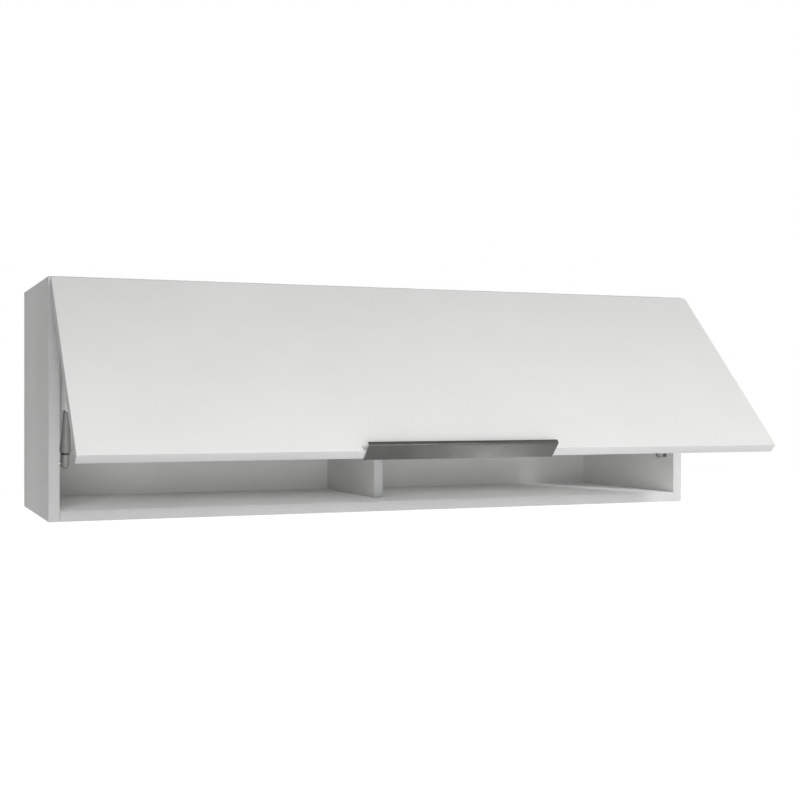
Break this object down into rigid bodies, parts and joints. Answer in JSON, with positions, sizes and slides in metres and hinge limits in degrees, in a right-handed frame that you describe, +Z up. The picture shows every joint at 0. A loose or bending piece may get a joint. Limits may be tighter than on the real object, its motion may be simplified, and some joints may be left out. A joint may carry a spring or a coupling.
{
  "type": "lift-up wall cabinet",
  "caption": "Wide, low white wall cabinet with a centre divider and a top-hung lift-up flap on concealed hinges and gas struts, with a bent metal pull under the flap's lower edge.",
  "frame": {"origin": "centre of the cabinet's rear face, on the wall", "axes": "+X to the right seen from the front, +Y towards the wall, +Z up"},
  "size_m": [1, 0.5406, 0.33],
  "materials": {
    "white_melamine": "satin white melamine on particle board",
    "back_hardboard": "white lacquered hardboard, matt",
    "pull_aluminium": "brushed and anodised",
    "hinge_nickel": "nickel-plated stamped steel",
    "zinc_steel": "zinc-plated steel",
    "strut_rod_chrome": "hard chromed and polished",
    "strut_tube_paint": "grey paint, satin",
    "strut_end_plastic": "grey moulded nylon",
    "bumper_clear": "translucent soft pad"
  },
  "bodies": {
    "carcass": {"side_panel_left": "white_melamine", "side_panel_right": "white_melamine", "top_panel": "white_melamine", "bottom_panel": "white_melamine", "centre_divider": "white_melamine", "hanging_rail": "white_melamine", "back_board": "back_hardboard", "cam_top_left_front": "zinc_steel", "cam_top_left_rear": "zinc_steel", "cam_top_right_front": "zinc_steel", "cam_top_right_rear": "zinc_steel", "cam_bottom_left_front": "zinc_steel", "cam_bottom_left_rear": "zinc_steel", "cam_bottom_right_front": "zinc_steel", "cam_bottom_right_rear": "zinc_steel", "bolt_top_left_front": "zinc_steel", "bolt_top_left_rear": "zinc_steel", "bolt_top_right_front": "zinc_steel", "bolt_top_right_rear": "zinc_steel", "bolt_bottom_left_front": "zinc_steel", "bolt_bottom_left_rear": "zinc_steel", "bolt_bottom_right_front": "zinc_steel", "bolt_bottom_right_rear": "zinc_steel", "divider_screw_top": "zinc_steel", "divider_screw_bottom": "zinc_steel", "hinge_plate_left": "hinge_nickel", "hinge_arm_left": "hinge_nickel", "hinge_screw_left_1": "hinge_nickel", "hinge_screw_left_2": "hinge_nickel", "strut_foot_bracket_left": "zinc_steel", "strut_foot_screw_left_1": "zinc_steel", "strut_foot_screw_left_2": "zinc_steel", "hinge_plate_right": "hinge_nickel", "hinge_arm_right": "hinge_nickel", "hinge_screw_right_1": "hinge_nickel", "hinge_screw_right_2": "hinge_nickel", "strut_foot_bracket_right": "zinc_steel", "strut_foot_screw_right_1": "zinc_steel", "strut_foot_screw_right_2": "zinc_steel"},
    "flap": {"flap_panel": "white_melamine", "handle": "pull_aluminium", "handle_screw_1": "zinc_steel", "handle_screw_2": "zinc_steel", "handle_screw_3": "zinc_steel", "bumper_left": "bumper_clear", "bumper_right": "bumper_clear", "hinge_cup_left": "hinge_nickel", "strut_head_bracket_left": "zinc_steel", "hinge_cup_right": "hinge_nickel", "strut_head_bracket_right": "zinc_steel"},
    "lower_strut_left": {"strut_lower_fitting_left": "strut_end_plastic", "strut_rod_left": "strut_rod_chrome"},
    "upper_strut_left": {"strut_upper_fitting_left": "strut_end_plastic", "strut_tube_left": "strut_tube_paint"},
    "lever_left": {"hinge_lever_left": "hinge_nickel"},
    "lower_strut_right": {"strut_lower_fitting_right": "strut_end_plastic", "strut_rod_right": "strut_rod_chrome"},
    "upper_strut_right": {"strut_upper_fitting_right": "strut_end_plastic", "strut_tube_right": "strut_tube_paint"},
    "lever_right": {"hinge_lever_right": "hinge_nickel"}
  },
  "joints": [
    {"name": "flap_hinge", "type": "hinge", "parent": "carcass", "child": "flap", "pos_m": [0, -0.3034, 0.1573], "axis": [-1, 0, 0], "range_deg": [-45, 35]},
    {"name": "lower_strut_left_pivot", "type": "hinge", "parent": "carcass", "child": "lower_strut_left", "pos_m": [-0.475, -0.266, -0.087], "axis": [1, 0, 0], "range_deg": [-8.3, 6.5]},
    {"name": "upper_strut_left_pivot", "type": "hinge", "parent": "flap", "child": "upper_strut_left", "pos_m": [-0.475, -0.30757, 0.11438], "axis": [1, 0, 0], "range_deg": [-53.3, 41.5]},
    {"name": "lever_left_pivot", "type": "hinge", "parent": "carcass", "child": "lever_left", "pos_m": [-0.385, -0.289, 0.132], "axis": [1, 0, 0], "range_deg": [-6.9, 5.4]},
    {"name": "lower_strut_right_pivot", "type": "hinge", "parent": "carcass", "child": "lower_strut_right", "pos_m": [0.475, -0.266, -0.087], "axis": [1, 0, 0], "range_deg": [-8.3, 6.5]},
    {"name": "upper_strut_right_pivot", "type": "hinge", "parent": "flap", "child": "upper_strut_right", "pos_m": [0.475, -0.30757, 0.11438], "axis": [1, 0, 0], "range_deg": [-53.3, 41.5]},
    {"name": "lever_right_pivot", "type": "hinge", "parent": "carcass", "child": "lever_right", "pos_m": [0.385, -0.289, 0.132], "axis": [1, 0, 0], "range_deg": [-6.9, 5.4]}
  ],
  "couplings": [
    {"joint": "lower_strut_left_pivot", "follows": "flap_hinge", "ratio": 0.181},
    {"joint": "upper_strut_left_pivot", "follows": "flap_hinge", "ratio": 1.181},
    {"joint": "lever_left_pivot", "follows": "flap_hinge", "ratio": 0.15},
    {"joint": "lower_strut_right_pivot", "follows": "flap_hinge", "ratio": 0.181},
    {"joint": "upper_strut_right_pivot", "follows": "flap_hinge", "ratio": 1.181},
    {"joint": "lever_right_pivot", "follows": "flap_hinge", "ratio": 0.15}
  ]
}
